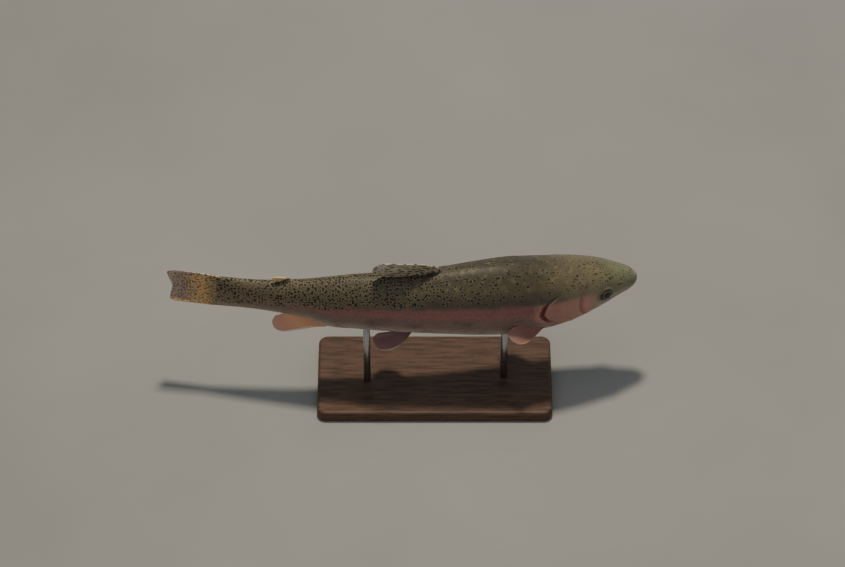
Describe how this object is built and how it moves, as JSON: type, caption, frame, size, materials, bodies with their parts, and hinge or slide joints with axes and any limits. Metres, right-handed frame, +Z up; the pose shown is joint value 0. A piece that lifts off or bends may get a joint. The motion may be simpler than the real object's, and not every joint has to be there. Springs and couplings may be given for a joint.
{
  "type": "rainbow trout",
  "caption": "Life-size swimming rainbow trout with gently bent body, folded back fin and half-closed tail, held level above a flat base on slim upright rods.",
  "frame": {"origin": "middle of the underside of the display stand's base", "axes": "+X toward the head, +Y toward the fish's left side, +Z up"},
  "size_m": [0.5129, 0.12, 0.211],
  "materials": {
    "skin": "wet scaled skin, olive back, rose side, cream belly, dark spots",
    "gill_cover_skin": "wet smooth skin, rose pink",
    "spotted_fin": "thin wet fin, golden olive with dark spots",
    "red_fin": "thin wet fin, dull red with a pale front edge",
    "eye": "wet clear eye, pale gold iris, black pupil",
    "stand_wood": "satin dark wood",
    "stand_steel": "satin steel"
  },
  "bodies": {
    "root": {"head": "skin", "lower_jaw": "skin", "upper_jaw_left": "skin", "upper_jaw_right": "skin", "gill_cover_left": "gill_cover_skin", "gill_cover_right": "gill_cover_skin", "eye_left": "eye", "eye_right": "eye", "trunk_front": "skin", "trunk_middle": "skin", "trunk_rear": "skin", "tail_stalk": "skin", "tail_fin": "spotted_fin", "dorsal_fin": "spotted_fin", "adipose_fin": "spotted_fin", "anal_fin": "red_fin", "pelvic_fin_left": "red_fin", "pelvic_fin_right": "red_fin", "pectoral_fin_left": "red_fin", "pectoral_fin_right": "red_fin", "stand_base": "stand_wood", "stand_rod_front": "stand_steel", "stand_rod_rear": "stand_steel"}
  },
  "joints": []
}
